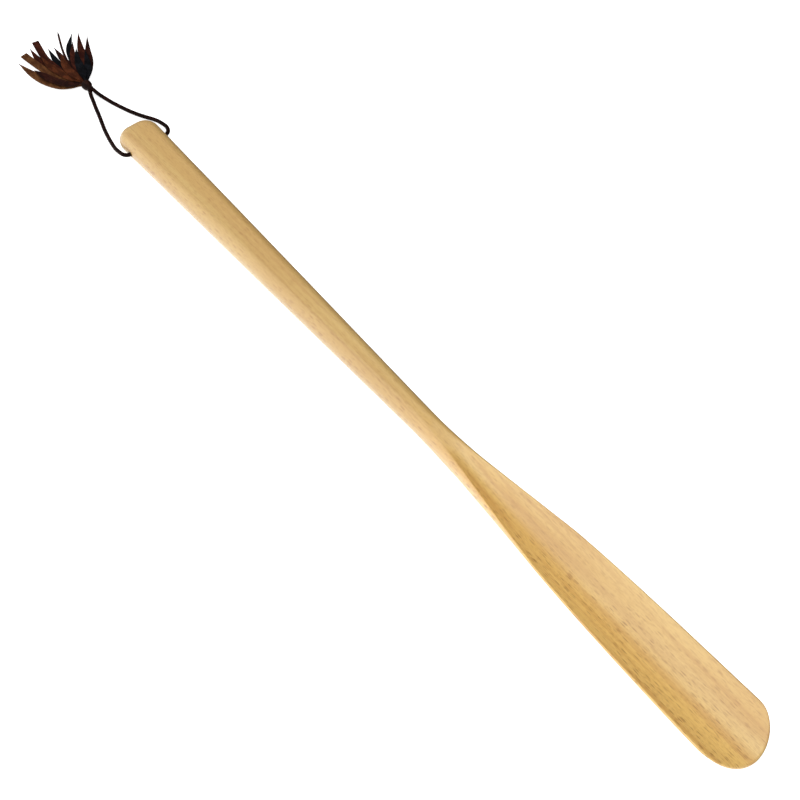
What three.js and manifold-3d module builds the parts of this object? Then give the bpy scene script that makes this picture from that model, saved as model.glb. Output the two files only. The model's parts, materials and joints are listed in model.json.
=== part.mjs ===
// A long shoehorn carved from one piece of beech, with a leather thong through
// a cross hole near the end of its handle and a leather tassel on the thong.
//
// Millimetres, +Z up. The shoehorn lies on its flat underside with its hollow
// upwards. +X runs from the handle to the tip of the blade, and the origin is
// on the resting surface, under the middle of the wooden body.

import * as THREE from 'three';
import { mergeVertices } from 'three/addons/utils/BufferGeometryUtils.js';
import Module from 'manifold-3d';

const wasm = await Module();
wasm.setup();

// ---- Driving dimensions ---------------------------------------------------

const BODY_LENGTH = 580;
const HALF_LENGTH = BODY_LENGTH / 2;
const HANDLE_THICKNESS = 14;
const EDGE_ROUND = HANDLE_THICKNESS / 2; // the handle's sides are full rounds
const END_CORNER_RADIUS = 11; // of the handle's end, seen from above
const TIP_HALF_WIDTH = 22.4; // the blade's end is half an ellipse, seen from above
const TIP_REACH = 21.6;
const TIP_EDGE_ROUND = 1.6;
const TIP_SPRING = 0.8; // the tip's underside lifts this far off the surface

const HOLE_RADIUS = 1.75;
const HOLE_FROM_END = 20;
const HOLE_X = HOLE_FROM_END - HALF_LENGTH;
const HOLE_Z = HANDLE_THICKNESS / 2;

const CORD_RADIUS = 1.4;
const CORD_STEPS = 64;
const CORD_SIDES = 8;

const TASSEL_Y = 0.2; // the cap's axis, beside the middle of the body
const TASSEL_Z = 3.95; // and above the resting surface
const NOSE_X = -343.2; // centre of the cap's round nose, where the tassel swings
const NOSE_RADIUS = 2.4;
const CAP_RADIUS = 3.6;
const CAP_BORE_RADIUS = 2.95;
const CAP_RIM_X = NOSE_X - 6.2;
const ROOT_X = NOSE_X - 4.35; // where the strips start, inside the cap
const KNOT_RADIUS = 1.5;
const KNOT_X = NOSE_X - 2.45;

const STRIP_THICKNESS = 0.7;
const STRIP_ROOT_WIDTH = 0.95;
const STRIP_TIP_WIDTH = 0.5;
const LAYER_PITCH_AT_CAP = 1.02;
const LAYER_PITCH_AT_TIP = 1.02;
const LOWEST_STRIP_Z = 0.45;
const LAYERS_DROP_OVER = 26; // the layers come down to their heights within this reach of the rim
const STRIP_STEPS = 20;

// ---- Outline and section of the wooden body -------------------------------
// Distances along the body are from the handle's end. Each list holds
// [distance, value] pairs, and a smooth curve runs through them.

const HALF_WIDTH = [
  [0, 14.6], [51, 13.7], [101, 12.75], [201, 10.65], [291, 8.65], [319, 8.15], [346, 9],
  [371, 11.15], [401, 14.45], [431, 17.65], [471, 19.95], [511, 21.35], [559, 22.4], [600, 22.7],
];
const WIDEST_HEIGHT = [
  [0, 7], [300, 7], [333, 6.2], [366, 7.4], [398, 9.8], [426, 11.5], [470, 11.3], [600, 11.1],
];
const RIM_HEIGHT = [
  [0, 14], [320, 14], [341, 13.8], [371, 13.4], [401, 13], [431, 12.7], [471, 12.3], [600, 12],
];
const RIM_INSET = [
  [0, 7], [291, 7], [337, 3.6], [358, 2.6], [378, 1.8], [401, 1.1], [431, 0.9], [600, 0.9],
];
const TOP_ROUND = [
  [0, 7], [291, 7], [337, 4.2], [358, 2.8], [378, 1.8], [401, 1.3], [431, 1.2], [600, 1.2],
];
const HOLLOW_FLOOR = [
  [0, 24], [301, 20], [323, 16], [337, 13.4], [358, 10.6], [378, 8.2], [401, 6], [431, 4.3],
  [471, 3.5], [600, 3.2],
];
const UNDERSIDE_FULLNESS = [
  [0, 2], [326, 2], [358, 1.75], [378, 1.5], [401, 1.28], [431, 1.12], [471, 1.06],
  [600, 1.06],
];

const CREST_BLEND = 0.8;
const FLAT_ENDS_AT = 345;
const TIP_EDGE_STARTS = 440;
const TIP_CENTRE = BODY_LENGTH - TIP_REACH;

// A smooth curve through [position, value] pairs that never overshoots them.
function smoothThrough(pairs) {
  const slope = pairs.map((pair, i) => {
    if (i === 0 || i === pairs.length - 1) return 0;
    const before = (pair[1] - pairs[i - 1][1]) / (pair[0] - pairs[i - 1][0]);
    const after = (pairs[i + 1][1] - pair[1]) / (pairs[i + 1][0] - pair[0]);
    return before * after <= 0 ? 0 : (2 * before * after) / (before + after);
  });
  return (x) => {
    let i = 0;
    while (i < pairs.length - 2 && x > pairs[i + 1][0]) i += 1;
    const [x0, y0] = pairs[i];
    const [x1, y1] = pairs[i + 1];
    const span = x1 - x0;
    const t = (x - x0) / span;
    return (2 * t ** 3 - 3 * t ** 2 + 1) * y0 + (t ** 3 - 2 * t ** 2 + t) * span * slope[i]
      + (3 * t ** 2 - 2 * t ** 3) * y1 + (t ** 3 - t ** 2) * span * slope[i + 1];
  };
}

const halfWidth = smoothThrough(HALF_WIDTH);
const widestHeight = smoothThrough(WIDEST_HEIGHT);
const rimHeight = smoothThrough(RIM_HEIGHT);
const rimInset = smoothThrough(RIM_INSET);
const topRound = smoothThrough(TOP_ROUND);
const hollowFloor = smoothThrough(HOLLOW_FLOOR);
const undersideFullness = smoothThrough(UNDERSIDE_FULLNESS);

const { clamp, smoothstep, lerp } = THREE.MathUtils;

// Height of a quarter round at a distance from its edge, from 0 to 1.
function quarterRound(fromEdge, radius) {
  const t = clamp(1 - fromEdge / radius, 0, 1);
  return Math.sqrt(1 - t * t);
}

// The lower of two heights, with the corner between them rounded.
function smoothMin(a, b, blend) {
  const t = clamp(0.5 + (b - a) / (2 * blend), 0, 1);
  return lerp(b, a, t) - blend * t * (1 - t);
}

// Half-width of the outline, with the handle's corners and the round tip.
function outlineHalfWidth(x) {
  if (x < END_CORNER_RADIUS) {
    const back = END_CORNER_RADIUS - x;
    return halfWidth(x) - END_CORNER_RADIUS + Math.sqrt(END_CORNER_RADIUS ** 2 - back ** 2);
  }
  if (x > TIP_CENTRE) {
    const reached = Math.min(1, (x - TIP_CENTRE) / TIP_REACH);
    return TIP_HALF_WIDTH * Math.sqrt(1 - reached ** 2);
  }
  return halfWidth(x);
}

// Distance in from the handle's outline, its rounded corners included.
function distanceFromSide(x, y) {
  const width = halfWidth(x);
  const cornerCentre = width - END_CORNER_RADIUS;
  if (x >= END_CORNER_RADIUS) return width - Math.abs(y);
  if (Math.abs(y) < cornerCentre) return x;
  return END_CORNER_RADIUS - Math.hypot(END_CORNER_RADIUS - x, Math.abs(y) - cornerCentre);
}

function distanceFromTip(x, y) {
  if (x > TIP_CENTRE) return TIP_REACH * (1 - Math.hypot((x - TIP_CENTRE) / TIP_REACH, y / TIP_HALF_WIDTH));
  return halfWidth(x) - Math.abs(y);
}

// Heights of the underside and of the top at one place in the outline.
function bodyHeights(x, y) {
  const width = halfWidth(x);
  const fromSide = Math.max(0, distanceFromSide(x, y));
  const widest = widestHeight(x);
  const rim = rimHeight(x);

  const flat = Math.max(0, width - EDGE_ROUND) * (1 - smoothstep(x, 290, FLAT_ENDS_AT));
  const outward = clamp(1 - fromSide / (width - flat), 0, 1);
  const under = widest * (1 - (1 - outward ** 2) ** (1 / undersideFullness(x)));

  const dome = widest + (rim - widest) * quarterRound(fromSide, topRound(x));
  const floor = hollowFloor(x);
  const hollow = floor + Math.max(0, rim - floor) * (y / (width - rimInset(x))) ** 2;
  const hollowed = smoothMin(dome, hollow, CREST_BLEND);
  const top = Math.max(under, fromSide > 0 ? hollowed : widest);

  const tipShare = smoothstep(x, TIP_EDGE_STARTS, TIP_CENTRE - 15);
  const tipEdge = 1 - tipShare * (1 - quarterRound(Math.max(0, distanceFromTip(x, y)), TIP_EDGE_ROUND));
  const middle = (top + under) / 2;
  const half = ((top - under) / 2) * tipEdge;
  const lift = TIP_SPRING * smoothstep(x, TIP_CENTRE - 20, BODY_LENGTH);
  return [middle - half + lift, middle + half + lift];
}

// ---- Mesh helpers ---------------------------------------------------------

// A closed body from a chain of rings with the same number of points. The end
// rings get flat caps, unless they run together into a point or a line.
function loftGeometry(rings, capped) {
  const count = rings[0].length;
  const positions = rings.flat().flatMap((p) => [p.x, p.y, p.z]);
  const triangles = [];
  for (let i = 0; i < rings.length - 1; i += 1) {
    for (let k = 0; k < count; k += 1) {
      const next = (k + 1) % count;
      const a = i * count + k;
      const b = i * count + next;
      triangles.push([a, b, b + count], [a, b + count, a + count]);
    }
  }
  const last = (rings.length - 1) * count;
  for (let k = 1; capped && k < count - 1; k += 1) {
    triangles.push([0, k + 1, k], [last, last + k, last + k + 1]);
  }
  const geometry = new THREE.BufferGeometry();
  geometry.setAttribute('position', new THREE.Float32BufferAttribute(positions, 3));
  geometry.setIndex(triangles.flat());
  return withoutSlivers(mergeVertices(geometry, 1e-3));
}

function withoutSlivers(geometry) {
  const index = geometry.index.array;
  const kept = [];
  for (let i = 0; i < index.length; i += 3) {
    const [a, b, c] = [index[i], index[i + 1], index[i + 2]];
    if (a !== b && b !== c && c !== a) kept.push(a, b, c);
  }
  geometry.setIndex(kept);
  return geometry;
}

function toManifold(source) {
  const bare = source.clone();
  bare.deleteAttribute('normal');
  bare.deleteAttribute('uv');
  const merged = withoutSlivers(mergeVertices(bare, 1e-3));
  return new wasm.Manifold(new wasm.Mesh({
    numProp: 3,
    vertProperties: new Float32Array(merged.attributes.position.array),
    triVerts: new Uint32Array(merged.index.array),
  }));
}

function fromManifold(solid) {
  const mesh = solid.getMesh();
  const geometry = new THREE.BufferGeometry();
  geometry.setAttribute('position', new THREE.BufferAttribute(mesh.vertProperties, 3));
  geometry.setIndex(new THREE.BufferAttribute(mesh.triVerts, 1));
  return geometry;
}

// ---- Wooden body ----------------------------------------------------------

const SECTION_POINTS = 20;

// Distances at which the body is cut into sections, closer where it curves.
function sectionPlaces() {
  const places = [];
  const between = (start, end, steps) => {
    for (let i = 0; i < steps; i += 1) places.push(lerp(start, end, i / steps));
  };
  const cornerSteps = 7;
  for (let i = 0; i < cornerSteps; i += 1) {
    places.push(END_CORNER_RADIUS * (1 - Math.cos((i / cornerSteps) * (Math.PI / 2))));
  }
  between(END_CORNER_RADIUS, 290, 12);
  between(290, 430, 28);
  between(430, TIP_CENTRE, 12);
  const tipSteps = 12;
  for (let i = 0; i <= tipSteps; i += 1) {
    places.push(TIP_CENTRE + TIP_REACH * Math.sin((i / tipSteps) * (Math.PI / 2)));
  }
  return places;
}

function sectionRing(x) {
  const width = outlineHalfWidth(x);
  const across = (k) => width * Math.sin(Math.PI * (k / SECTION_POINTS - 0.5));
  const ring = [];
  for (let k = 0; k < SECTION_POINTS; k += 1) {
    const y = across(k);
    ring.push(new THREE.Vector3(x - HALF_LENGTH, y, bodyHeights(x, y)[0]));
  }
  for (let k = SECTION_POINTS; k > 0; k -= 1) {
    const y = across(k);
    ring.push(new THREE.Vector3(x - HALF_LENGTH, y, bodyHeights(x, y)[1]));
  }
  return ring;
}

function bodyGeometry() {
  const carved = toManifold(loftGeometry(sectionPlaces().map(sectionRing), false));
  const drill = new THREE.CylinderGeometry(HOLE_RADIUS, HOLE_RADIUS, 60, 24);
  drill.translate(HOLE_X, 0, HOLE_Z);
  return fromManifold(carved.subtract(toManifold(drill)));
}

// ---- Thong ----------------------------------------------------------------
// One leather cord. Both its ends are held in the tassel's cap, its legs lie
// on the surface, and its middle passes straight through the cross hole.

const CORD_ROUTE = [
  [-340.5, -1.6, 3.75], [-337.4, -2.85, 3.05], [-334, -3.8, 2.5], [-328, -5.7, 1.75],
  [-320.5, -7.9, 1.5], [-313.4, -10.2, 1.5], [-305.3, -12.8, 1.6], [-296.6, -15.1, 2.1],
  [-289.6, -16.7, 3], [-284, -17.8, 4.1], [-280.2, -18.2, 5.1], [-276.3, -18.3, 6.1],
  [-273, -17.9, 6.8], [-270.8, -16.3, 7], [-270, -14, 7], [-270, -6, 7], [-270, 6, 7],
  [-270, 14, 7], [-270.7, 16.1, 7], [-272, 17.7, 6.8], [-274.6, 19.1, 6.4], [-278, 19.8, 5.8],
  [-281.8, 19.6, 5.2], [-286, 19.1, 4.5], [-290.7, 17.9, 3.6], [-296.2, 15.9, 2.5],
  [-303, 13.1, 1.7], [-309.5, 10.5, 1.5], [-316.8, 8, 1.5], [-323.6, 5.9, 1.55],
  [-329.8, 4.1, 2], [-335.2, 2.5, 2.8], [-338.2, 1.8, 3.4], [-340.5, 1.5, 3.8],
];

function cordGeometry() {
  const route = new THREE.CatmullRomCurve3(CORD_ROUTE.map((p) => new THREE.Vector3(...p)));
  const round = new THREE.Shape();
  for (let i = 0; i < CORD_SIDES; i += 1) {
    const angle = ((i + 0.5) / CORD_SIDES) * Math.PI * 2;
    const [x, y] = [CORD_RADIUS * Math.cos(angle), CORD_RADIUS * Math.sin(angle)];
    if (i === 0) round.moveTo(x, y);
    else round.lineTo(x, y);
  }
  return new THREE.ExtrudeGeometry(round, { extrudePath: route, steps: CORD_STEPS });
}

// ---- Tassel ---------------------------------------------------------------

// The cap is a drawn leather thimble: a round nose towards the thong, a body
// that swells to the rim, and a stepped hollow for the knot and the strips.
function capGeometry() {
  const profile = [];
  const noseSteps = 6;
  const noseEnd = THREE.MathUtils.degToRad(115);
  for (let i = 0; i <= noseSteps; i += 1) {
    const angle = (i / noseSteps) * noseEnd;
    profile.push([NOSE_RADIUS * Math.sin(angle), NOSE_RADIUS * Math.cos(angle)]);
  }
  const outside = [[2.75, -1.8], [3.3, -2.8], [CAP_RADIUS, -4], [CAP_RADIUS, -5.1], [3.45, -6.2]];
  const inside = [[CAP_BORE_RADIUS, -6.2], [CAP_BORE_RADIUS, -4.15], [1.9, -3.8], [1.9, -1.2], [0, -0.6]];
  profile.push(...outside, ...inside);
  const lathe = new THREE.LatheGeometry(profile.map(([r, x]) => new THREE.Vector2(r, x)).reverse(), 24);
  return lathe.rotateZ(-Math.PI / 2);
}

const TAN = 0x6b4222;
const BROWN = 0x53290f;
const RED_BROWN = 0x431c10;
const DARK_BROWN = 0x27120d;
const BLACK = 0x101113;

// The strips of the fringe, layer by layer from the lowest. root is the place
// across the cap's hollow, plan the line that the strip follows over the
// surface to its tip, wide its full width, and point how much of the length
// tapers to the tip (0 for a square cut).
const STRIPS = [
  [
    { root: -0.65, wide: 5.5, point: 0.35, colour: RED_BROWN,
      plan: [[-362.5, -5.1], [-378, -8.7], [-393.5, -11], [-408, -10]] },
    { root: 0.65, wide: 7.6, point: 0.55, colour: BLACK,
      plan: [[-363, 6], [-378, 8.6], [-391, 12.5], [-402.5, 21.6]] },
  ],
  [
    { root: -1.85, wide: 7.5, point: 0.5, colour: TAN,
      plan: [[-355, -8.5], [-368.5, -17.3], [-384, -22.3], [-398.5, -24.5]] },
    { root: -0.62, wide: 5, point: 0.4, colour: BLACK,
      plan: [[-363, -3], [-375.5, -3], [-386.5, -2.2], [-399, -0.2]] },
    { root: 0.62, wide: 1.6, point: 0.08, colour: DARK_BROWN,
      plan: [[-363.5, 2], [-375.5, 3], [-390, 6.7], [-409.8, 14.5]] },
    { root: 1.85, wide: 5.8, point: 0.6, colour: DARK_BROWN,
      plan: [[-360, 9], [-369.5, 15.9], [-380, 21.3], [-392.5, 28.6]] },
  ],
  [
    { root: -2, wide: 5.4, point: 0, colour: TAN,
      plan: [[-356.8, -7], [-371, -12], [-386.5, -15.2], [-403.5, -17.6]] },
    { root: -0.7, wide: 5, point: 0, colour: RED_BROWN,
      plan: [[-361.5, -3], [-375.5, -6.2], [-390, -7.4], [-410, -4]] },
    { root: 0.7, wide: 5.2, point: 0.4, colour: DARK_BROWN,
      plan: [[-362.2, 1.6], [-375, 1.7], [-385.5, 2.2], [-396, 3.3]] },
    { root: 2, wide: 6.2, point: 0.55, colour: RED_BROWN,
      plan: [[-360.5, 8.4], [-373.5, 13.6], [-385, 18.2], [-398.5, 25]] },
  ],
  [
    { root: -1.85, wide: 5.4, point: 0.3, colour: DARK_BROWN,
      plan: [[-355, -8.2], [-364.5, -13.8], [-374, -17.4], [-383.7, -20.2]] },
    { root: -0.62, wide: 5.4, point: 0.35, colour: BROWN,
      plan: [[-359.5, -4.4], [-371.3, -7.6], [-381.5, -9.5], [-392, -9.4]] },
    { root: 0.62, wide: 5.4, point: 0.5, colour: RED_BROWN,
      plan: [[-362, 2.4], [-373.8, 6.6], [-382.5, 10.4], [-391.5, 16.4]] },
    { root: 1.85, wide: 5.6, point: 0.65, colour: BLACK,
      plan: [[-358, 7.8], [-365, 12], [-371.8, 15.4], [-379.5, 18.8]] },
  ],
  [
    { root: -0.65, wide: 5.5, point: 0.4, colour: BROWN,
      plan: [[-358.8, -1.6], [-368.8, -1.7], [-377, -0.3], [-385, 2.9]] },
    { root: 0.65, wide: 6.1, point: 0.6, colour: BLACK,
      plan: [[-358.5, 4.2], [-366.5, 6.5], [-374.5, 9.5], [-383.5, 14.2]] },
  ],
];

const MIDDLE_LAYER = (STRIPS.length - 1) / 2;

function layerHeight(layer, x, y) {
  const atCap = TASSEL_Z + (layer - MIDDLE_LAYER) * LAYER_PITCH_AT_CAP;
  const atTip = LOWEST_STRIP_Z + layer * LAYER_PITCH_AT_TIP;
  const outside = x < CAP_RIM_X ? Math.hypot(x - CAP_RIM_X, y - TASSEL_Y) : 0;
  return lerp(atCap, atTip, smoothstep(outside, 0, LAYERS_DROP_OVER));
}

function stripLine({ root, plan }, layer) {
  const start = [[ROOT_X, TASSEL_Y + root], [CAP_RIM_X - 0.4, TASSEL_Y + root * 1.1]];
  const flat = [...start, ...plan].map(([x, y]) => new THREE.Vector3(x, y, 0));
  const places = new THREE.CatmullRomCurve3(flat).getSpacedPoints(STRIP_STEPS);
  return places.map(({ x, y }) => new THREE.Vector3(x, y, layerHeight(layer, x, y)));
}

function stripWidth(strip, t) {
  const opened = smoothstep(t, 0.05, 0.34);
  const grown = lerp(STRIP_ROOT_WIDTH, strip.wide, opened);
  const toTip = strip.point > 0 ? clamp((1 - t) / strip.point, 0, 1) : 1;
  return Math.max(STRIP_TIP_WIDTH, grown * Math.sin(toTip * (Math.PI / 2)));
}

function stripGeometry(strip, layer) {
  const line = stripLine(strip, layer);
  const rings = line.map((centre, i) => {
    const ahead = line[Math.min(i + 1, STRIP_STEPS)];
    const behind = line[Math.max(i - 1, 0)];
    const along = ahead.clone().sub(behind).normalize();
    const side = new THREE.Vector3(along.y, -along.x, 0).normalize();
    const up = new THREE.Vector3().crossVectors(side, along);
    const half = stripWidth(strip, i / STRIP_STEPS) / 2;
    const lift = STRIP_THICKNESS / 2;
    return [[-half, -lift], [-half, lift], [half, lift], [half, -lift]].map(
      ([across, above]) => centre.clone().addScaledVector(side, across).addScaledVector(up, above),
    );
  });
  return loftGeometry(rings, true);
}

// ---- Materials and assembly -----------------------------------------------

const beech = new THREE.MeshStandardMaterial({ color: 0xd2aa6e, roughness: 0.5, metalness: 0 });
const thong = new THREE.MeshStandardMaterial({ color: 0x1c0e0b, roughness: 0.45, metalness: 0 });

const shoehorn = new THREE.Group();

function place(parent, name, geometry, material) {
  const mesh = new THREE.Mesh(geometry, material);
  mesh.name = name;
  parent.add(mesh);
  return mesh;
}

place(shoehorn, 'shoehorn_body', bodyGeometry(), beech);
place(shoehorn, 'hanging_thong', cordGeometry(), thong);

const tassel = new THREE.Group();
shoehorn.add(tassel);
place(tassel, 'tassel_cap', capGeometry(), thong).position.set(NOSE_X, TASSEL_Y, TASSEL_Z);
const knot = place(tassel, 'stopper_knot', new THREE.IcosahedronGeometry(KNOT_RADIUS, 2), thong);
knot.position.set(KNOT_X, TASSEL_Y, TASSEL_Z);

let stripNumber = 0;
STRIPS.forEach((layerStrips, layer) => {
  for (const strip of layerStrips) {
    const leather = new THREE.MeshStandardMaterial({ color: strip.colour, roughness: 0.6, metalness: 0 });
    stripNumber += 1;
    const number = String(stripNumber).padStart(2, '0');
    place(tassel, `fringe_strip_${number}`, stripGeometry(strip, layer), leather);
  }
});

export default shoehorn;
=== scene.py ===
"""A long beech shoehorn with a leather thong and tassel, lying on a pale floor."""

import json
import math

import bmesh
import bpy
import numpy as np
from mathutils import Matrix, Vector


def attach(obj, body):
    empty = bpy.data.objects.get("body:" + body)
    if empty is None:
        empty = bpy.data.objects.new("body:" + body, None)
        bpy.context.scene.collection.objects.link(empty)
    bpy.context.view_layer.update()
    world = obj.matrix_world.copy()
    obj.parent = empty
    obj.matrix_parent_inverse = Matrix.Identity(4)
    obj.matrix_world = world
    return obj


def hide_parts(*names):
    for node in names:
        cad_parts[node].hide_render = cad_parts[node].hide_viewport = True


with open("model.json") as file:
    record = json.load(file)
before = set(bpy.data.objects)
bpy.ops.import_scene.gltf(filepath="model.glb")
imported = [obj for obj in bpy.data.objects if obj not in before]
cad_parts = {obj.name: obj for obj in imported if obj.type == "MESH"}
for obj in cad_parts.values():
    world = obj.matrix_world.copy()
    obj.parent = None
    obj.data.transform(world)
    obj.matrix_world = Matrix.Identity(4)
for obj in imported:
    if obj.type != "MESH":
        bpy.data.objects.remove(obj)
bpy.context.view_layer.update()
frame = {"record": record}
MM = 0.001
COLLECTION = bpy.context.scene.collection


# ---- Camera ---------------------------------------------------------------

def make_camera():
    data = bpy.data.cameras.new("camera")
    data.sensor_width = 36
    data.lens = 68.53
    data.clip_start = 0.01
    camera = bpy.data.objects.new("camera", data)
    camera.location = (0.4015, -0.3282, 0.7548)
    camera.rotation_euler = (math.pi / 2 - 0.9651, 0, 0.8863)
    COLLECTION.objects.link(camera)
    bpy.context.scene.camera = camera


make_camera()


# ---- Shared helpers ---------------------------------------------------------

def catmull(points, per_span=6):
    """A centripetal Catmull-Rom curve through the points, as three.js draws it."""
    pts = [np.array(p, float) for p in points]
    ends = [2 * pts[0] - pts[1], *pts, 2 * pts[-1] - pts[-2]]
    out = []
    for i in range(1, len(ends) - 2):
        p0, p1, p2, p3 = ends[i - 1:i + 3]
        t0 = 0.0
        t1 = t0 + np.linalg.norm(p1 - p0) ** 0.5
        t2 = t1 + np.linalg.norm(p2 - p1) ** 0.5
        t3 = t2 + np.linalg.norm(p3 - p2) ** 0.5
        for t in np.linspace(t1, t2, per_span, endpoint=False):
            a1 = (t1 - t) / (t1 - t0) * p0 + (t - t0) / (t1 - t0) * p1
            a2 = (t2 - t) / (t2 - t1) * p1 + (t - t1) / (t2 - t1) * p2
            a3 = (t3 - t) / (t3 - t2) * p2 + (t - t2) / (t3 - t2) * p3
            b1 = (t2 - t) / (t2 - t0) * a1 + (t - t0) / (t2 - t0) * a2
            b2 = (t3 - t) / (t3 - t1) * a2 + (t - t1) / (t3 - t1) * a3
            out.append((t2 - t) / (t2 - t1) * b1 + (t - t1) / (t2 - t1) * b2)
    out.append(pts[-1])
    return np.array(out)


def clamp(value, low, high):
    return min(max(value, low), high)


def smoothstep(x, low, high):
    t = clamp((x - low) / (high - low), 0, 1)
    return t * t * (3 - 2 * t)


def mesh_object(name, verts, faces, smooth=True):
    mesh = bpy.data.meshes.new(name)
    mesh.from_pydata([tuple(c * MM for c in v) for v in verts], [], faces)
    mesh.validate()
    mesh.polygons.foreach_set("use_smooth", [smooth] * len(mesh.polygons))
    mesh.update()
    made = bpy.data.objects.new(name, mesh)
    COLLECTION.objects.link(made)
    return made


def recalculate(obj):
    work = bmesh.new()
    work.from_mesh(obj.data)
    bmesh.ops.remove_doubles(work, verts=work.verts, dist=1e-7)
    bmesh.ops.recalc_face_normals(work, faces=work.faces)
    work.to_mesh(obj.data)
    work.free()


def apply_modifiers(obj):
    depsgraph = bpy.context.evaluated_depsgraph_get()
    made = bpy.data.meshes.new_from_object(obj.evaluated_get(depsgraph))
    obj.modifiers.clear()
    obj.data = made


def declare(piece, body, node):
    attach(piece, body)
    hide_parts(node)


# ---- Thong: the route of part.mjs in millimetres, led on into the cap ----------

CORD_RADIUS = 1.4
CORD_ROUTE = [
    (-342.3, -0.6, 3.95), (-340.5, -1.6, 3.75), (-337.4, -2.85, 3.05), (-334, -3.8, 2.5),
    (-328, -5.7, 1.75), (-320.5, -7.9, 1.5), (-313.4, -10.2, 1.5), (-305.3, -12.8, 1.6),
    (-296.6, -15.1, 2.1), (-289.6, -16.7, 3), (-284, -17.8, 4.1), (-280.2, -18.2, 5.1),
    (-276.3, -18.3, 6.1), (-273, -17.9, 6.8), (-270.8, -16.3, 7), (-270, -14, 7), (-270, -6, 7),
    (-270, 6, 7), (-270, 14, 7), (-270.7, 16.1, 7), (-272, 17.7, 6.8), (-274.6, 19.1, 6.4),
    (-278, 19.8, 5.8), (-281.8, 19.6, 5.2), (-286, 19.1, 4.5), (-290.7, 17.9, 3.6),
    (-296.2, 15.9, 2.5), (-303, 13.1, 1.7), (-309.5, 10.5, 1.5), (-316.8, 8, 1.5),
    (-323.6, 5.9, 1.55), (-329.8, 4.1, 2), (-335.2, 2.5, 2.8), (-338.2, 1.8, 3.4),
    (-340.5, 1.5, 3.8), (-342.3, 0.9, 3.95),
]


def make_thong():
    line = catmull(CORD_ROUTE)
    data = bpy.data.curves.new("thong", "CURVE")
    data.dimensions = "3D"
    data.bevel_depth = 1
    data.bevel_resolution = 5
    spline = data.splines.new("POLY")
    spline.points.add(len(line) - 1)
    for point, place in zip(spline.points, line):
        point.co = (*(place * MM), 1)
        point.radius = CORD_RADIUS * MM
    thong = bpy.data.objects.new("thong", data)
    COLLECTION.objects.link(thong)
    declare(thong, "thong", "hanging_thong")
    return thong


# ---- Tassel, on the thong's two ends --------------------------------------------

TASSEL_Y = 0.2
TASSEL_Z = 3.95
NOSE_X = -343.2
NOSE_RADIUS = 2.4
CAP_RIM_X = NOSE_X - 6.2
ROOT_X = NOSE_X - 4.35
STRIP_THICKNESS = 0.7
STRIP_ROOT_WIDTH = 0.95
STRIP_TIP_WIDTH = 0.5
LOWEST_STRIP_Z = 0.45
LAYER_PITCH = 1.02
LAYERS_DROP_OVER = 26
# The fringe, layer by layer from the lowest. Each strip has its root across the cap's hollow, its
# full width, the share of its length that tapers to the tip, and its line over the surface.
STRIPS = [
    [
        (-0.65, 5.5, 0.35, [(-362.5, -5.1), (-378, -8.7), (-393.5, -11), (-408, -10)]),
        (0.65, 7.6, 0.55, [(-363, 6), (-378, 8.6), (-391, 12.5), (-402.5, 21.6)]),
    ],
    [
        (-1.85, 7.5, 0.5, [(-355, -8.5), (-368.5, -17.3), (-384, -22.3), (-398.5, -24.5)]),
        (-0.62, 5, 0.4, [(-363, -3), (-375.5, -3), (-386.5, -2.2), (-399, -0.2)]),
        (0.62, 1.6, 0.08, [(-363.5, 2), (-375.5, 3), (-390, 6.7), (-409.8, 14.5)]),
        (1.85, 5.8, 0.6, [(-360, 9), (-369.5, 15.9), (-380, 21.3), (-392.5, 28.6)]),
    ],
    [
        (-2, 5.4, 0, [(-356.8, -7), (-371, -12), (-386.5, -15.2), (-403.5, -17.6)]),
        (-0.7, 5, 0, [(-361.5, -3), (-375.5, -6.2), (-390, -7.4), (-410, -4)]),
        (0.7, 5.2, 0.4, [(-362.2, 1.6), (-375, 1.7), (-385.5, 2.2), (-396, 3.3)]),
        (2, 6.2, 0.55, [(-360.5, 8.4), (-373.5, 13.6), (-385, 18.2), (-398.5, 25)]),
    ],
    [
        (-1.85, 5.4, 0.3, [(-355, -8.2), (-364.5, -13.8), (-374, -17.4), (-383.7, -20.2)]),
        (-0.62, 5.4, 0.35, [(-359.5, -4.4), (-371.3, -7.6), (-381.5, -9.5), (-392, -9.4)]),
        (0.62, 5.4, 0.5, [(-362, 2.4), (-373.8, 6.6), (-382.5, 10.4), (-391.5, 16.4)]),
        (1.85, 5.6, 0.65, [(-358, 7.8), (-365, 12), (-371.8, 15.4), (-379.5, 18.8)]),
    ],
    [
        (-0.65, 5.5, 0.4, [(-358.8, -1.6), (-368.8, -1.7), (-377, -0.3), (-385, 2.9)]),
        (0.65, 6.1, 0.6, [(-358.5, 4.2), (-366.5, 6.5), (-374.5, 9.5), (-383.5, 14.2)]),
    ],
]


def layer_height(layer, x, y):
    at_cap = TASSEL_Z + (layer - 2) * LAYER_PITCH
    at_tip = LOWEST_STRIP_Z + layer * LAYER_PITCH
    outside = math.hypot(x - CAP_RIM_X, y - TASSEL_Y) if x < CAP_RIM_X else 0
    return at_cap + (at_tip - at_cap) * smoothstep(outside, 0, LAYERS_DROP_OVER)


def strip_line(strip, layer, steps):
    root, _, _, plan = strip
    start = [(ROOT_X, TASSEL_Y + root), (CAP_RIM_X - 0.4, TASSEL_Y + root * 1.1)]
    flat = catmull([(x, y, 0) for x, y in [*start, *plan]], 24)
    gaps = np.concatenate([[0], np.cumsum(np.linalg.norm(np.diff(flat, axis=0), axis=1))])
    even = np.linspace(0, gaps[-1], steps)
    xs, ys = (np.interp(even, gaps, flat[:, c]) for c in range(2))
    return np.array([(x, y, layer_height(layer, x, y)) for x, y in zip(xs, ys)])


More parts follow.
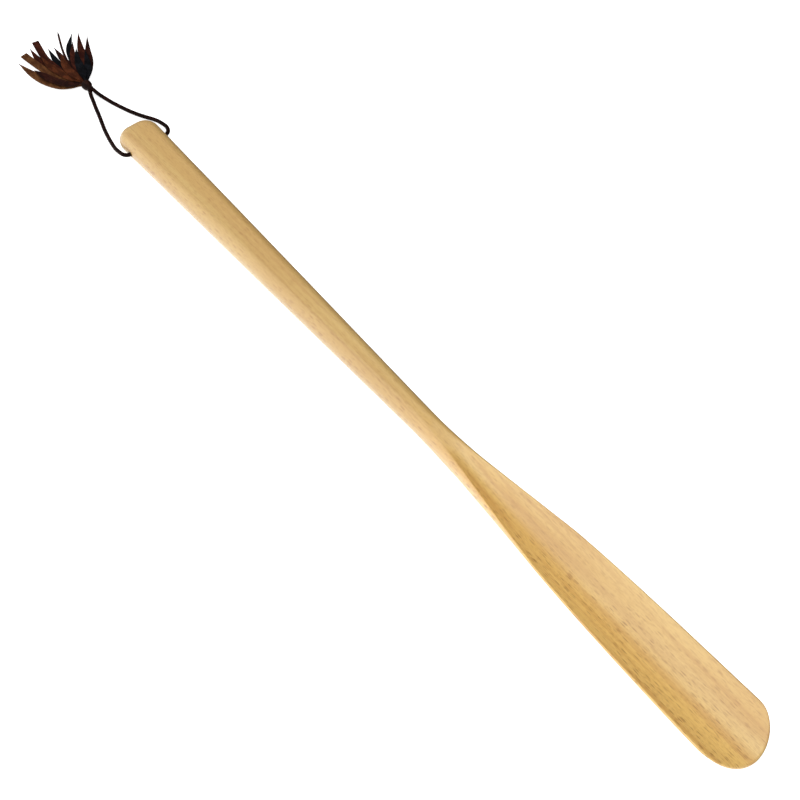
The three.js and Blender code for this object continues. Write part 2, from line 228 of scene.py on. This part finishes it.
def strip_half(strip, t):
    _, wide, point, _ = strip
    grown = STRIP_ROOT_WIDTH + (wide - STRIP_ROOT_WIDTH) * smoothstep(t, 0.05, 0.34)
    taper = clamp((1 - t) / point, 0, 1) if point else 1
    return max(STRIP_TIP_WIDTH, grown * math.sin(taper * math.pi / 2)) / 2


def strip_mesh(name, strip, layer):
    steps, across = 60, 6
    line = strip_line(strip, layer, steps)
    verts, faces = [], []
    for i, centre in enumerate(line):
        along = line[min(i + 1, steps - 1)] - line[max(i - 1, 0)]
        along /= np.linalg.norm(along)
        side = np.array((along[1], -along[0], 0))
        side /= np.linalg.norm(side)
        lift = np.cross(side, along) * STRIP_THICKNESS / 2
        half = strip_half(strip, i / (steps - 1))
        places = [centre + side * half * (2 * k / across - 1) for k in range(across + 1)]
        verts += [place - lift for place in places]
        verts += [place + lift for place in reversed(places)]
    ring = 2 * (across + 1)
    for i in range(steps - 1):
        for k in range(ring):
            a, b = i * ring + k, i * ring + (k + 1) % ring
            faces.append((a, b, b + ring, a + ring))
    faces.append(tuple(range(ring))[::-1])
    faces.append(tuple((steps - 1) * ring + k for k in range(ring)))
    return mesh_object(name, verts, faces)


def make_strip(node, strip, layer):
    made = strip_mesh(node + "_leather", strip, layer)
    recalculate(made)
    soften = made.modifiers.new("soften", "BEVEL")
    soften.width = 0.00012
    soften.segments = 2
    soften.limit_method = "ANGLE"
    apply_modifiers(made)
    declare(made, "tassel", node)
    return made


def slot_of(node):
    return next(s["material_slot"] for s in frame["record"]["subparts"] if s["node"] == node)


def make_fringe():
    placed = [(strip, layer) for layer, strips in enumerate(STRIPS) for strip in strips]
    return [
        make_strip(f"fringe_strip_{i:02d}", strip, layer)
        for i, (strip, layer) in enumerate(placed, start=1)
    ]


def make_cap():
    """The cap: a drawn leather thimble with a round nose and a rolled rim."""
    profile = []
    for i in range(17):
        angle = math.radians(115 * i / 16)
        profile.append((NOSE_RADIUS * math.sin(angle), NOSE_RADIUS * math.cos(angle)))
    profile += [
        (2.3, -1.3), (2.75, -1.8), (3.1, -2.35), (3.35, -2.95), (3.52, -3.6), (3.6, -4.2), (3.6, -4.9),
        (3.56, -5.5), (3.46, -5.95), (3.25, -6.2), (3.05, -6.1), (2.95, -5.8), (2.95, -4.15), (1.9, -3.8),
        (1.9, -1.2),
    ]
    sides = 64
    verts = [(NOSE_X + profile[0][1], TASSEL_Y, TASSEL_Z)]
    for r, x in profile[1:]:
        for k in range(sides):
            a = 2 * math.pi * k / sides
            verts.append((NOSE_X + x, TASSEL_Y + r * math.cos(a), TASSEL_Z + r * math.sin(a)))
    verts.append((NOSE_X - 0.6, TASSEL_Y, TASSEL_Z))
    faces = [(0, 1 + k, 1 + (k + 1) % sides) for k in range(sides)]
    rings = len(profile) - 1
    for i in range(rings - 1):
        for k in range(sides):
            a, b = 1 + i * sides + k, 1 + i * sides + (k + 1) % sides
            faces.append((a, a + sides, b + sides, b))
    last = 1 + (rings - 1) * sides
    faces += [(last + k, len(verts) - 1, last + (k + 1) % sides) for k in range(sides)]
    cap = mesh_object("cap_leather", verts, faces)
    recalculate(cap)
    declare(cap, "tassel", "tassel_cap")
    return cap


thong = make_thong()
cap = make_cap()
fringe = make_fringe()


# ---- Wooden body: the surface of part.mjs, made fine ------------------------------

BODY_LENGTH = 580
HALF_LENGTH = BODY_LENGTH / 2
HANDLE_THICKNESS = 14
EDGE_ROUND = HANDLE_THICKNESS / 2
HOLE_X = 20 - HALF_LENGTH
HOLE_Z = HANDLE_THICKNESS / 2
END_CORNER_RADIUS = 11
TIP_HALF_WIDTH = 22.4
TIP_REACH = 21.6
TIP_EDGE_ROUND = 1.6
TIP_SPRING = 0.8
TIP_CENTRE = BODY_LENGTH - TIP_REACH
CREST_BLEND = 0.8
FLAT_STARTS_TO_CLOSE = 290
FLAT_ENDS_AT = 345
TIP_EDGE_STARTS = 440

HALF_WIDTH = [
    (0, 14.6), (51, 13.7), (101, 12.75), (201, 10.65), (291, 8.65), (319, 8.15), (346, 9),
    (371, 11.15), (401, 14.45), (431, 17.65), (471, 19.95), (511, 21.35), (559, 22.4),
    (600, 22.7),
]
WIDEST_HEIGHT = [
    (0, 7), (300, 7), (333, 6.2), (366, 7.4), (398, 9.8), (426, 11.5), (470, 11.3), (600, 11.1),
]
RIM_HEIGHT = [
    (0, 14), (320, 14), (341, 13.8), (371, 13.4), (401, 13), (431, 12.7), (471, 12.3), (600, 12),
]
RIM_INSET = [
    (0, 7), (291, 7), (337, 3.6), (358, 2.6), (378, 1.8), (401, 1.1), (431, 0.9), (600, 0.9),
]
TOP_ROUND = [
    (0, 7), (291, 7), (337, 4.2), (358, 2.8), (378, 1.8), (401, 1.3), (431, 1.2), (600, 1.2),
]
HOLLOW_FLOOR = [
    (0, 24), (301, 20), (323, 16), (337, 13.4), (358, 10.6), (378, 8.2), (401, 6), (431, 4.3),
    (471, 3.5), (600, 3.2),
]
UNDERSIDE_FULLNESS = [
    (0, 2), (326, 2), (358, 1.75), (378, 1.5), (401, 1.28), (431, 1.12), (471, 1.06), (600, 1.06),
]


def smooth_through(pairs):
    """A smooth curve through (position, value) pairs that never overshoots them."""
    xs, ys = np.array(pairs, float).T
    chords = np.diff(ys) / np.diff(xs)
    slopes = np.zeros(len(xs))
    for i in range(1, len(xs) - 1):
        a, b = chords[i - 1], chords[i]
        slopes[i] = 0 if a * b <= 0 else 2 * a * b / (a + b)

    def value(x):
        i = min(max(int(np.searchsorted(xs, x, side="left")) - 1, 0), len(xs) - 2)
        span = xs[i + 1] - xs[i]
        t = (x - xs[i]) / span
        return (
            (2 * t**3 - 3 * t**2 + 1) * ys[i] + (t**3 - 2 * t**2 + t) * span * slopes[i]
            + (3 * t**2 - 2 * t**3) * ys[i + 1] + (t**3 - t**2) * span * slopes[i + 1]
        )
    return value


half_width = smooth_through(HALF_WIDTH)
widest_height = smooth_through(WIDEST_HEIGHT)
rim_height = smooth_through(RIM_HEIGHT)
rim_inset = smooth_through(RIM_INSET)
top_round = smooth_through(TOP_ROUND)
hollow_floor = smooth_through(HOLLOW_FLOOR)
underside_fullness = smooth_through(UNDERSIDE_FULLNESS)


def quarter_round(from_edge, radius):
    t = clamp(1 - from_edge / radius, 0, 1)
    return math.sqrt(1 - t * t)


def smooth_min(a, b, blend):
    t = clamp(0.5 + (b - a) / (2 * blend), 0, 1)
    return b + (a - b) * t - blend * t * (1 - t)


def outline_half_width(x):
    if x < END_CORNER_RADIUS:
        back = END_CORNER_RADIUS - x
        return half_width(x) - END_CORNER_RADIUS + math.sqrt(END_CORNER_RADIUS**2 - back**2)
    if x > TIP_CENTRE:
        return TIP_HALF_WIDTH * math.sqrt(max(0, 1 - ((x - TIP_CENTRE) / TIP_REACH) ** 2))
    return half_width(x)


def distance_from_side(x, y):
    width = half_width(x)
    centre = width - END_CORNER_RADIUS
    if x >= END_CORNER_RADIUS:
        return width - abs(y)
    if abs(y) < centre:
        return x
    return END_CORNER_RADIUS - math.hypot(END_CORNER_RADIUS - x, abs(y) - centre)


def distance_from_tip(x, y):
    if x > TIP_CENTRE:
        return TIP_REACH * (1 - math.hypot((x - TIP_CENTRE) / TIP_REACH, y / TIP_HALF_WIDTH))
    return half_width(x) - abs(y)


def body_heights(x, y):
    """Heights of the underside and of the top at one place in the outline."""
    width = half_width(x)
    side = max(0, distance_from_side(x, y))
    widest = widest_height(x)
    rim = rim_height(x)
    flat = max(0, width - EDGE_ROUND) * (1 - smoothstep(x, FLAT_STARTS_TO_CLOSE, FLAT_ENDS_AT))
    outward = clamp(1 - side / (width - flat), 0, 1)
    under = widest * (1 - (1 - outward**2) ** (1 / underside_fullness(x)))
    dome = widest + (rim - widest) * quarter_round(side, top_round(x))
    floor = hollow_floor(x)
    hollow = floor + max(0, rim - floor) * (y / (width - rim_inset(x))) ** 2
    hollowed = smooth_min(dome, hollow, CREST_BLEND)
    top = max(under, hollowed if side > 0 else widest)
    share = smoothstep(x, TIP_EDGE_STARTS, TIP_CENTRE - 15)
    edge = 1 - share * (1 - quarter_round(max(0, distance_from_tip(x, y)), TIP_EDGE_ROUND))
    middle = (top + under) / 2
    half = (top - under) / 2 * edge
    lift = TIP_SPRING * smoothstep(x, TIP_CENTRE - 20, BODY_LENGTH)
    return middle - half + lift, middle + half + lift


def section_places():
    corner = [END_CORNER_RADIUS * (1 - math.cos(math.pi / 2 * i / 24)) for i in range(1, 24)]
    run = list(np.linspace(END_CORNER_RADIUS, TIP_CENTRE, 300))
    tip = [TIP_CENTRE + TIP_REACH * math.sin(math.pi / 2 * i / 40) for i in range(1, 40)]
    return [*corner, *run, *tip]


def body_mesh():
    across = 44
    verts, faces = [], []
    places = section_places()
    for x in places:
        width = outline_half_width(x)
        ys = [width * math.sin(math.pi * (k / across - 0.5)) for k in range(across + 1)]
        for y in ys[:-1]:
            verts.append((x - HALF_LENGTH, y, body_heights(x, y)[0]))
        for y in ys[:0:-1]:
            verts.append((x - HALF_LENGTH, y, body_heights(x, y)[1]))
    ring = 2 * across
    for i in range(len(places) - 1):
        for k in range(ring):
            a, b = i * ring + k, i * ring + (k + 1) % ring
            faces.append((a, a + ring, b + ring, b))
    # the handle's end closes on a line and the tip on a point
    end_width = outline_half_width(0)
    end_ys = [end_width * math.sin(math.pi * (k / across - 0.5)) for k in range(across + 1)]
    base = len(verts)
    verts += [(-HALF_LENGTH, y, HANDLE_THICKNESS / 2) for y in end_ys]
    for k in range(ring):
        end_a, end_b = (i if i <= across else ring - i for i in (k, k + 1))
        faces.append((base + end_a, k, (k + 1) % ring, base + end_b))
    last = (len(places) - 1) * ring
    point = len(verts)
    tip_heights = body_heights(BODY_LENGTH, 0)
    verts.append((HALF_LENGTH, 0, sum(tip_heights) / 2))
    for k in range(ring):
        faces.append((last + k, point, last + (k + 1) % ring))
    return mesh_object("shoehorn_wood", verts, faces)


def hole_cutter():
    """The drill's path: a straight bore with its two mouths eased."""
    steps = [(-40, 3.3), (-16.2, 3.3), (-14.6, 2.45), (-13.6, 1.95), (-12.6, 1.75), (12.6, 1.75),
             (13.6, 1.95), (14.6, 2.45), (16.2, 3.3), (40, 3.3)]
    sides = 48
    verts = [
        (HOLE_X + r * math.cos(turn), y, HOLE_Z + r * math.sin(turn))
        for y, r in steps for turn in (2 * math.pi * k / sides for k in range(sides))
    ]
    faces = [
        (i * sides + k, i * sides + (k + 1) % sides, (i + 1) * sides + (k + 1) % sides, (i + 1) * sides + k)
        for i in range(len(steps) - 1) for k in range(sides)
    ]
    faces.append(tuple(range(sides))[::-1])
    faces.append(tuple((len(steps) - 1) * sides + k for k in range(sides)))
    return mesh_object("hole_cutter", verts, faces)


def make_body():
    wood = body_mesh()
    cutter = hole_cutter()
    recalculate(wood)
    recalculate(cutter)
    cut = wood.modifiers.new("hole", "BOOLEAN")
    cut.operation = "DIFFERENCE"
    cut.object = cutter
    cut.solver = "EXACT"
    apply_modifiers(wood)
    bpy.data.objects.remove(cutter)
    wood.data.materials.clear()
    declare(wood, "shoehorn", "shoehorn_body")
    return wood


body = make_body()


# ---- Node materials -----------------------------------------------------------------

class Look:
    """A material and short ways to add nodes to it."""

    def __init__(self, name):
        self.material = bpy.data.materials.new(name)
        self.material.use_nodes = True
        self.tree = self.material.node_tree
        self.shader = self.tree.nodes["Principled BSDF"]
        self.coords = self.tree.nodes.new("ShaderNodeTexCoord").outputs["Object"]

    def node(self, kind):
        return self.tree.nodes.new(kind)

    def link(self, source, target):
        self.tree.links.new(source, target)

    def feed(self, socket, value):
        if isinstance(value, bpy.types.NodeSocket):
            self.link(value, socket)
        else:
            socket.default_value = value

    def stretched(self, scale, rotation=(0, 0, 0), offset=(0, 0, 0)):
        made = self.node("ShaderNodeMapping")
        made.inputs["Scale"].default_value = scale
        made.inputs["Rotation"].default_value = rotation
        made.inputs["Location"].default_value = offset
        self.link(self.coords, made.inputs["Vector"])
        return made.outputs["Vector"]

    def noise(self, vector, detail=3.0, distortion=0.0):
        made = self.node("ShaderNodeTexNoise")
        self.link(vector, made.inputs["Vector"])
        made.inputs["Scale"].default_value = 1
        made.inputs["Detail"].default_value = detail
        made.inputs["Roughness"].default_value = 0.55
        made.inputs["Distortion"].default_value = distortion
        return made.outputs["Fac"]

    def voronoi(self, vector, feature="F1"):
        made = self.node("ShaderNodeTexVoronoi")
        made.feature = feature
        self.link(vector, made.inputs["Vector"])
        made.inputs["Scale"].default_value = 1
        made.inputs["Randomness"].default_value = 1
        return made

    def ramp(self, value, low, high, out_low=0.0, out_high=1.0):
        made = self.node("ShaderNodeMapRange")
        made.interpolation_type = "SMOOTHSTEP"
        self.feed(made.inputs["Value"], value)
        made.inputs["From Min"].default_value = low
        made.inputs["From Max"].default_value = high
        made.inputs["To Min"].default_value = out_low
        made.inputs["To Max"].default_value = out_high
        return made.outputs["Result"]

    def math(self, operation, a, b=0.0):
        made = self.node("ShaderNodeMath")
        made.operation = operation
        self.feed(made.inputs[0], a)
        self.feed(made.inputs[1], b)
        return made.outputs["Value"]

    def mix(self, factor, a, b, blend="MIX"):
        made = self.node("ShaderNodeMix")
        made.data_type = "RGBA"
        made.blend_type = blend
        self.feed(made.inputs["Factor"], factor)
        for index, value in ((6, a), (7, b)):
            self.feed(made.inputs[index], value)
        return made.outputs[2]

    def bump(self, height, distance, strength=1.0, normal=None):
        made = self.node("ShaderNodeBump")
        made.inputs["Strength"].default_value = strength
        made.inputs["Distance"].default_value = distance
        self.link(height, made.inputs["Height"])
        if normal is not None:
            self.link(normal, made.inputs["Normal"])
        return made.outputs["Normal"]


def rgb(r, g, b):
    """A displayed colour, 0 to 255, as the linear colour that nodes use."""
    def linear(c):
        c /= 255
        return c / 12.92 if c <= 0.04045 else ((c + 0.055) / 1.055) ** 2.4
    return (linear(r), linear(g), linear(b), 1)


def beech_tone(look):
    """Slow changes of tone, growth rings cut nearly flat, and fine fibres."""
    broad = look.noise(look.stretched((5, 60, 60)), detail=2)
    colour = look.mix(look.ramp(broad, 0.35, 0.65), rgb(203, 163, 92), rgb(215, 181, 111))
    rings = look.noise(look.stretched((5, 300, 150), rotation=(0, 0, 0.015)), detail=3, distortion=0.5)
    colour = look.mix(look.ramp(rings, 0.48, 0.7, 0, 0.6), colour, rgb(188, 142, 78))
    fibres = look.noise(look.stretched((190, 1500, 1500)), detail=3)
    return look.mix(look.ramp(fibres, 0.45, 0.7, 0, 0.4), colour, rgb(180, 134, 72)), fibres


def beech_rays(look, scale, share, offset):
    """The short dark rays that mark beech, one in some of a field of long cells."""
    cells = look.voronoi(look.stretched(scale, offset=offset))
    ray = look.ramp(cells.outputs["Distance"], 0.22, 0.5, 1, 0)
    random = look.node("ShaderNodeSeparateColor")
    look.link(cells.outputs["Color"], random.inputs[0])
    return look.math("MULTIPLY", ray, look.ramp(random.outputs[0], 1 - share, 1 - share / 2))


def beech_look():
    look = Look("beech")
    colour, fibres = beech_tone(look)
    place = look.node("ShaderNodeSeparateXYZ")
    look.link(look.coords, place.inputs[0])
    blade = look.ramp(place.outputs[0], -0.02, 0.1)
    # Painted light: the lights leave the blade darker and greyer towards -Y than the real wood looks, so
    # its colour is raised there, red by 27 % and green by 20 %, as painted light. In other light that side
    # will look too warm.
    painted_light_mask = look.math("MULTIPLY", blade, look.ramp(place.outputs[1], -0.01, 0.01, 1, 0.25))
    # painted light: brightens the base colour on the blade's -Y half
    colour = look.mix(painted_light_mask, colour, (1.27, 1.2, 1, 1), "MULTIPLY")
    large = beech_rays(look, (170, 1050, 500), 0.5, (0.3, 1.7, 0.4))
    small = beech_rays(look, (360, 1900, 900), 0.75, (2.1, 0.6, 3.2))
    along = look.ramp(place.outputs[0], 0.02, 0.14, 0.5, 1)
    across = look.ramp(place.outputs[1], -0.016, 0.018, 1, 0.35)
    patches = look.ramp(look.noise(look.stretched((14, 90, 90), offset=(3, 1, 0))), 0.35, 0.62, 0.5, 1)
    dense = look.math("MULTIPLY", look.math("MULTIPLY", along, across), patches)
    large = look.math("MULTIPLY", large, dense)
    small = look.math("MULTIPLY", small, look.math("MULTIPLY", dense, 0.7))
    colour = look.mix(look.math("MULTIPLY", small, 0.8), colour, rgb(168, 106, 40))
    colour = look.mix(look.math("MULTIPLY", large, 0.9), colour, rgb(148, 84, 24))
    look.link(colour, look.shader.inputs["Base Color"])
    rough = look.math("ADD", look.ramp(fibres, 0.3, 0.7, 0.4, 0.5), look.math("MULTIPLY", large, 0.12))
    look.link(rough, look.shader.inputs["Roughness"])
    normal = look.bump(fibres, 0.00005, 0.6)
    sunk = look.math("MULTIPLY", large, -1)
    look.link(look.bump(sunk, 0.00006, 0.6, normal), look.shader.inputs["Normal"])
    look.shader.inputs["Specular IOR Level"].default_value = 0.6
    look.shader.inputs["Coat Weight"].default_value = 1.0
    look.shader.inputs["Coat Roughness"].default_value = 0.38
    look.shader.inputs["Coat IOR"].default_value = 1.8
    return look.material


def leather_look(name, colour, light, roughness, grain=1.0, specular=0.05):
    """Leather: a pebbled grain with darker creases, and paler rubbed places."""
    look = Look(name)
    pebbles = look.voronoi(look.stretched((2300, 2300, 2300)), feature="SMOOTH_F1")
    crease = look.ramp(pebbles.outputs["Distance"], 0.2, 0.75)
    wear = look.noise(look.stretched((160, 320, 320)), detail=4)
    tone = look.mix(look.ramp(wear, 0.4, 0.65), colour, light)
    dark = tuple(c * 0.4 for c in colour[:3]) + (1,)
    look.link(look.mix(look.math("MULTIPLY", crease, 0.5), tone, dark), look.shader.inputs["Base Color"])
    look.link(look.ramp(wear, 0.3, 0.7, roughness, roughness - 0.12), look.shader.inputs["Roughness"])
    height = look.math("SUBTRACT", look.math("MULTIPLY", wear, 0.6), look.math("MULTIPLY", crease, 0.7))
    look.link(look.bump(height, 0.00012, grain), look.shader.inputs["Normal"])
    look.shader.inputs["Specular IOR Level"].default_value = specular
    return look.material


def paint(piece, material):
    piece.data.materials.clear()
    piece.data.materials.append(material)


thong_leather = leather_look("thong_leather", rgb(20, 6, 4), rgb(36, 13, 8), 0.5, 0.5, 0.05)
STRIP_LOOKS = {
    "tan_leather": leather_look("tan_leather", rgb(76, 44, 24), rgb(108, 70, 40), 0.66),
    "brown_leather": leather_look("brown_leather", rgb(60, 28, 14), rgb(90, 46, 24), 0.64),
    "red_brown_leather": leather_look("red_brown_leather", rgb(48, 18, 12), rgb(74, 34, 22), 0.62),
    "dark_brown_leather": leather_look("dark_brown_leather", rgb(34, 13, 10), rgb(56, 25, 17), 0.6),
    "black_leather": leather_look("black_leather", rgb(7, 8, 11), rgb(20, 22, 27), 0.6),
}
paint(body, beech_look())
paint(thong, thong_leather)
paint(bpy.data.objects["stopper_knot"], thong_leather)
paint(cap, leather_look("cap_leather", rgb(26, 12, 9), rgb(44, 23, 17), 0.5, 0.5, 0.06))
for strip_number, strip_piece in enumerate(fringe, start=1):
    paint(strip_piece, STRIP_LOOKS[slot_of(f"fringe_strip_{strip_number:02d}")])


# ---- Floor and light -------------------------------------------------------------------

def make_table_half(name, far_y):
    """Half of a plain white table, on one side of the object. It glows a little,
    as a lit studio table does, and casts no light back up onto the wood."""
    look = Look(name + "_paint")
    look.shader.inputs["Base Color"].default_value = (0.9, 0.9, 0.9, 1)
    look.shader.inputs["Roughness"].default_value = 0.9
    look.shader.inputs["Specular IOR Level"].default_value = 0
    look.shader.inputs["Emission Color"].default_value = (1, 1, 1, 1)
    look.shader.inputs["Emission Strength"].default_value = 0.75
    half_length = abs(far_y)
    corners = [
        (-half_length, 0, 0), (half_length, 0, 0), (half_length, far_y, 0), (-half_length, far_y, 0),
    ]
    table = mesh_object(name, corners, [(0, 1, 2, 3)])
    table.data.materials.append(look.material)
    table.visible_diffuse = False
    return table


def make_light(name, place, target, size, power):
    data = bpy.data.lights.new(name, "AREA")
    data.shape = "RECTANGLE"
    data.size, data.size_y = size
    data.energy = power
    lamp = bpy.data.objects.new(name, data)
    lamp.location = place
    lamp.rotation_euler = (Vector(target) - Vector(place)).to_track_quat("-Z", "Y").to_euler()
    COLLECTION.objects.link(lamp)
    return lamp


def make_world(near, far):
    """A white dome that is bright behind the softbox, at -Y, and dim at +Y."""
    world = bpy.data.worlds.new("studio")
    world.use_nodes = True
    nodes, links = world.node_tree.nodes, world.node_tree.links
    direction = nodes.new("ShaderNodeSeparateXYZ")
    fade = nodes.new("ShaderNodeMapRange")
    links.new(nodes.new("ShaderNodeTexCoord").outputs["Generated"], direction.inputs[0])
    links.new(direction.outputs["Y"], fade.inputs["Value"])
    links.new(fade.outputs["Result"], nodes["Background"].inputs["Strength"])
    for socket, value in (("From Min", -0.5), ("From Max", 0.6), ("To Min", near), ("To Max", far)):
        fade.inputs[socket].default_value = value
    nodes["Background"].inputs["Color"].default_value = (1, 1, 1, 1)
    bpy.context.scene.world = world


# The far half gives no reflection, which keeps the far edge of the handle dark.
TABLE_HALF_WIDTH = 30000
make_table_half("table_near", -TABLE_HALF_WIDTH)
make_table_half("table_far", TABLE_HALF_WIDTH).visible_glossy = False
make_world(1.05, 0.12)
make_light("overhead", (0, 0.2, 1.7), (0, 0, 0), (1.8, 1.2), 17).visible_glossy = False
make_light("side_softbox", (-0.4, -1.4, 0.7), (0, 0, 0.02), (2.2, 0.9), 2)
bpy.context.scene.view_settings.view_transform = "Standard"

bpy.context.view_layer.update()
